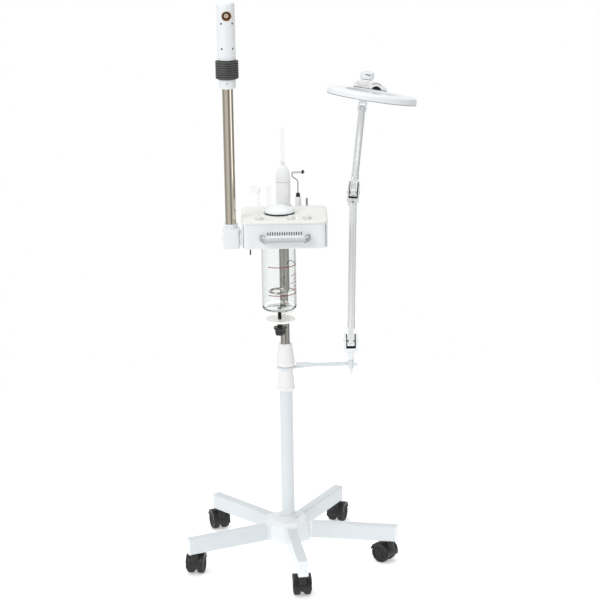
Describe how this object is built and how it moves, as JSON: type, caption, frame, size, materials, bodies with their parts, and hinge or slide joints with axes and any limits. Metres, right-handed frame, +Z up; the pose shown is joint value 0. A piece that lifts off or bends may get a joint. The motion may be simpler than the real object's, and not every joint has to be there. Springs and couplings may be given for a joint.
{
  "type": "facial steamer",
  "caption": "Facial steamer on a caster base: steam arm, glass water jar, magnifying lamp on a jointed arm and a rack of skin-care handpieces.",
  "frame": {"origin": "on the floor, at the middle of the plan outline", "axes": "+Z up, -Y to the front (the side of the handle and the steam outlet), +X to the lamp's side"},
  "size_m": [0.5919, 0.5595, 1.4388],
  "materials": {
    "white_plastic": "smooth cool white moulding",
    "cool_plastic": "smooth cool white moulding",
    "cream_plastic": "smooth cream white moulding",
    "control_plastic": "pale grey moulding",
    "handset_plastic": "smooth pale grey moulding",
    "black_plastic": "satin black moulding",
    "wheel_rubber": "black tread",
    "black_rubber": "ribbed matte black rubber",
    "white_metal": "white powder coat",
    "chrome": "polished",
    "dark_chrome": "polished, dark",
    "steel": "plain steel",
    "handle_plastic": "grey ribbed moulding",
    "copper": "turned, copper coloured",
    "jar_glass": "clear glass with red level lines",
    "lens_glass": "clear ground glass",
    "electrode_glass": "clear glass",
    "lamp_tube": "white glass tube of a ring lamp",
    "circuit_board": "circuit board"
  },
  "bodies": {
    "base": {"base_hub": "white_plastic", "leg_1": "white_metal", "leg_2": "white_metal", "leg_3": "white_metal", "leg_4": "white_metal", "leg_5": "white_metal", "column": "white_metal", "column_collar": "white_plastic"},
    "caster_1": {"caster_hood_1": "black_plastic"},
    "wheels_1": {"caster_wheels_1": "wheel_rubber"},
    "caster_2": {"caster_hood_2": "black_plastic"},
    "wheels_2": {"caster_wheels_2": "wheel_rubber"},
    "caster_3": {"caster_hood_3": "black_plastic"},
    "wheels_3": {"caster_wheels_3": "wheel_rubber"},
    "caster_4": {"caster_hood_4": "black_plastic"},
    "wheels_4": {"caster_wheels_4": "wheel_rubber"},
    "caster_5": {"caster_hood_5": "black_plastic"},
    "wheels_5": {"caster_wheels_5": "wheel_rubber"},
    "height_clamp": {"height_clamp": "white_plastic"},
    "mast": {"inner_pole": "chrome", "box_body": "white_plastic", "box_lid": "cream_plastic", "front_handle": "handle_plastic", "boiler": "steel", "heater": "steel", "jar_plate": "white_plastic", "accessory_rack": "cream_plastic", "cable_gland": "white_plastic", "control_board": "circuit_board"},
    "lamp_bracket": {"lamp_bracket": "white_metal"},
    "lamp_fork": {"lamp_fork": "white_plastic"},
    "lower_arm": {"lower_arm": "white_metal"},
    "upper_arm": {"upper_arm": "white_metal"},
    "wrist": {"wrist_fork": "white_plastic"},
    "lamp_head": {"head_bracket": "cream_plastic", "lamp_housing": "white_plastic", "ring_lamp": "lamp_tube", "lens": "lens_glass"},
    "head_knob": {"head_knob": "white_plastic"},
    "steam_arm": {"pivot_block": "white_plastic", "steam_tube": "chrome", "tube_collar": "white_plastic"},
    "steam_head": {"head_grip": "black_rubber", "steam_head": "white_plastic", "steam_nozzle": "copper"},
    "steam_knob": {"steam_knob": "control_plastic"},
    "current_knob": {"current_knob": "control_plastic"},
    "frequency_knob": {"frequency_knob": "control_plastic"},
    "power_switch": {"power_switch": "white_plastic"},
    "boiler_cap": {"boiler_cap": "cool_plastic"},
    "jar_pad": {"jar_pad": "black_rubber"},
    "jar_screw": {"jar_screw": "black_plastic"},
    "water_jar": {"water_jar": "jar_glass"},
    "hf_wand": {"hf_handpiece": "handset_plastic", "hf_electrode": "electrode_glass"},
    "mushroom_electrode": {"mushroom_electrode": "electrode_glass"},
    "tube_electrode": {"tube_electrode": "electrode_glass"},
    "galvanic_handle": {"galvanic_handle": "handset_plastic"},
    "steel_rod": {"steel_rod": "chrome"},
    "galvanic_roller": {"galvanic_roller": "dark_chrome"}
  },
  "joints": [
    {"name": "caster_1_swivel", "type": "hinge", "parent": "base", "child": "caster_1", "pos_m": [-0.00337, -0.26065, 0.05], "axis": [0, 0, 1], "continuous": true},
    {"name": "wheels_1_spin", "type": "hinge", "parent": "caster_1", "child": "wheels_1", "pos_m": [-0.00494, -0.24272, 0.025], "axis": [0.9962, 0.0872, 0], "continuous": true},
    {"name": "caster_2_swivel", "type": "hinge", "parent": "base", "child": "caster_2", "pos_m": [0.22189, -0.05059, 0.05], "axis": [0, 0, 1], "continuous": true},
    {"name": "wheels_2_spin", "type": "hinge", "parent": "caster_2", "child": "wheels_2", "pos_m": [0.2081, -0.03902, 0.025], "axis": [0.6428, 0.766, 0], "continuous": true},
    {"name": "caster_3_swivel", "type": "hinge", "parent": "base", "child": "caster_3", "pos_m": [0.09172, 0.22855, 0.05], "axis": [0, 0, 1], "continuous": true},
    {"name": "wheels_3_spin", "type": "hinge", "parent": "caster_3", "child": "wheels_3", "pos_m": [0.09788, 0.24546, 0.025], "axis": [0.9397, -0.342, 0], "continuous": true},
    {"name": "caster_4_swivel", "type": "hinge", "parent": "base", "child": "caster_4", "pos_m": [-0.21398, 0.19101, 0.05], "axis": [0, 0, 1], "continuous": true},
    {"name": "wheels_4_spin", "type": "hinge", "parent": "caster_4", "child": "wheels_4", "pos_m": [-0.22014, 0.20793, 0.025], "axis": [0.9397, 0.342, 0], "continuous": true},
    {"name": "caster_5_swivel", "type": "hinge", "parent": "base", "child": "caster_5", "pos_m": [-0.27275, -0.11133, 0.05], "axis": [0, 0, 1], "continuous": true},
    {"name": "wheels_5_spin", "type": "hinge", "parent": "caster_5", "child": "wheels_5", "pos_m": [-0.26963, -0.0936, 0.025], "axis": [0.9848, -0.1736, 0], "continuous": true},
    {"name": "height_clamp_turn", "type": "hinge", "parent": "base", "child": "height_clamp", "pos_m": [-0.0353, -0.0006, 0.54], "axis": [0, 0, 1], "range_deg": [-180, 0]},
    {"name": "mast_slide", "type": "slide", "parent": "base", "child": "mast", "axis": [0, 0, 1], "range_m": [-0.04, 0.2]},
    {"name": "lamp_bracket_turn", "type": "hinge", "parent": "base", "child": "lamp_bracket", "pos_m": [-0.0353, -0.0006, 0.51], "axis": [0, 0, 1], "range_deg": [-40, 110]},
    {"name": "lamp_fork_swivel", "type": "hinge", "parent": "lamp_bracket", "child": "lamp_fork", "pos_m": [0.1287, -0.0006, 0.515], "axis": [0, 0, 1], "range_deg": [-90, 80]},
    {"name": "lower_arm_tilt", "type": "hinge", "parent": "lamp_fork", "child": "lower_arm", "pos_m": [0.1292, -0.0006, 0.575], "axis": [1, 0, 0], "range_deg": [-35, 55]},
    {"name": "elbow", "type": "hinge", "parent": "lower_arm", "child": "upper_arm", "pos_m": [0.1382, -0.0006, 0.955], "axis": [0.9962, 0, -0.0872], "range_deg": [-45, 60]},
    {"name": "wrist_tilt", "type": "hinge", "parent": "upper_arm", "child": "wrist", "pos_m": [0.16745, 0.15188, 1.13697], "axis": [0.986, 0, -0.1668], "range_deg": [-60, 45]},
    {"name": "lamp_head_swivel", "type": "hinge", "parent": "wrist", "child": "lamp_head", "pos_m": [0.17459, 0.15586, 1.17918], "axis": [0.1661, 0.0924, 0.9818], "range_deg": [-75, 75]},
    {"name": "head_knob_turn", "type": "hinge", "parent": "wrist", "child": "head_knob", "pos_m": [0.17459, 0.15586, 1.17918], "axis": [0.1661, 0.0924, 0.9818], "range_deg": [0, 180]},
    {"name": "steam_arm_tilt", "type": "hinge", "parent": "mast", "child": "steam_arm", "pos_m": [-0.1611, -0.1106, 0.8725], "axis": [1, 0, 0], "range_deg": [-30, 60]},
    {"name": "steam_head_swivel", "type": "hinge", "parent": "steam_arm", "child": "steam_head", "pos_m": [-0.1611, -0.1106, 1.28], "axis": [0, 0, 1], "range_deg": [-90, 90]},
    {"name": "steam_knob_turn", "type": "hinge", "parent": "mast", "child": "steam_knob", "pos_m": [-0.0918, -0.1156, 0.92], "axis": [0, 0, -1], "range_deg": [0, 180]},
    {"name": "current_knob_turn", "type": "hinge", "parent": "mast", "child": "current_knob", "pos_m": [-0.0161, -0.1156, 0.92], "axis": [0, 0, -1], "range_deg": [0, 270]},
    {"name": "frequency_knob_turn", "type": "hinge", "parent": "mast", "child": "frequency_knob", "pos_m": [0.0235, -0.1156, 0.92], "axis": [0, 0, -1], "range_deg": [0, 270]},
    {"name": "power_switch_rock", "type": "hinge", "parent": "mast", "child": "power_switch", "pos_m": [-0.0714, -0.1156, 0.915], "axis": [1, 0, 0], "range_deg": [0, 8]},
    {"name": "boiler_cap_lift", "type": "slide", "parent": "mast", "child": "boiler_cap", "axis": [0, 0, 1], "range_m": [0, 0.06]},
    {"name": "jar_pad_slide", "type": "slide", "parent": "mast", "child": "jar_pad", "axis": [0, 0, 1], "range_m": [-0.012, 0]},
    {"name": "jar_screw_turn", "type": "hinge", "parent": "jar_pad", "child": "jar_screw", "pos_m": [-0.0478, -0.0606, 0.63], "axis": [0, 0, 1], "range_deg": [0, 540]},
    {"name": "water_jar_drop", "type": "slide", "parent": "mast", "child": "water_jar", "axis": [0, 0, 1], "range_m": [-0.012, 0]},
    {"name": "hf_wand_lift", "type": "slide", "parent": "mast", "child": "hf_wand", "axis": [0, 0, 1], "range_m": [0, 0.06]},
    {"name": "mushroom_electrode_lift", "type": "slide", "parent": "mast", "child": "mushroom_electrode", "axis": [0, 0, 1], "range_m": [0, 0.05]},
    {"name": "tube_electrode_lift", "type": "slide", "parent": "mast", "child": "tube_electrode", "axis": [0, 0, 1], "range_m": [0, 0.05]},
    {"name": "galvanic_handle_lift", "type": "slide", "parent": "mast", "child": "galvanic_handle", "axis": [0, 0, 1], "range_m": [0, 0.05]},
    {"name": "steel_rod_lift", "type": "slide", "parent": "mast", "child": "steel_rod", "axis": [0, 0, 1], "range_m": [0, 0.04]},
    {"name": "galvanic_roller_spin", "type": "hinge", "parent": "galvanic_handle", "child": "galvanic_roller", "pos_m": [0.0062, 0.0574, 0.9968], "axis": [1, 0, 0], "continuous": true}
  ],
  "couplings": [
    {"joint": "jar_screw_turn", "follows": "jar_pad_slide", "rad_per_m": -785.4},
    {"joint": "water_jar_drop", "follows": "jar_pad_slide", "ratio": 1}
  ]
}
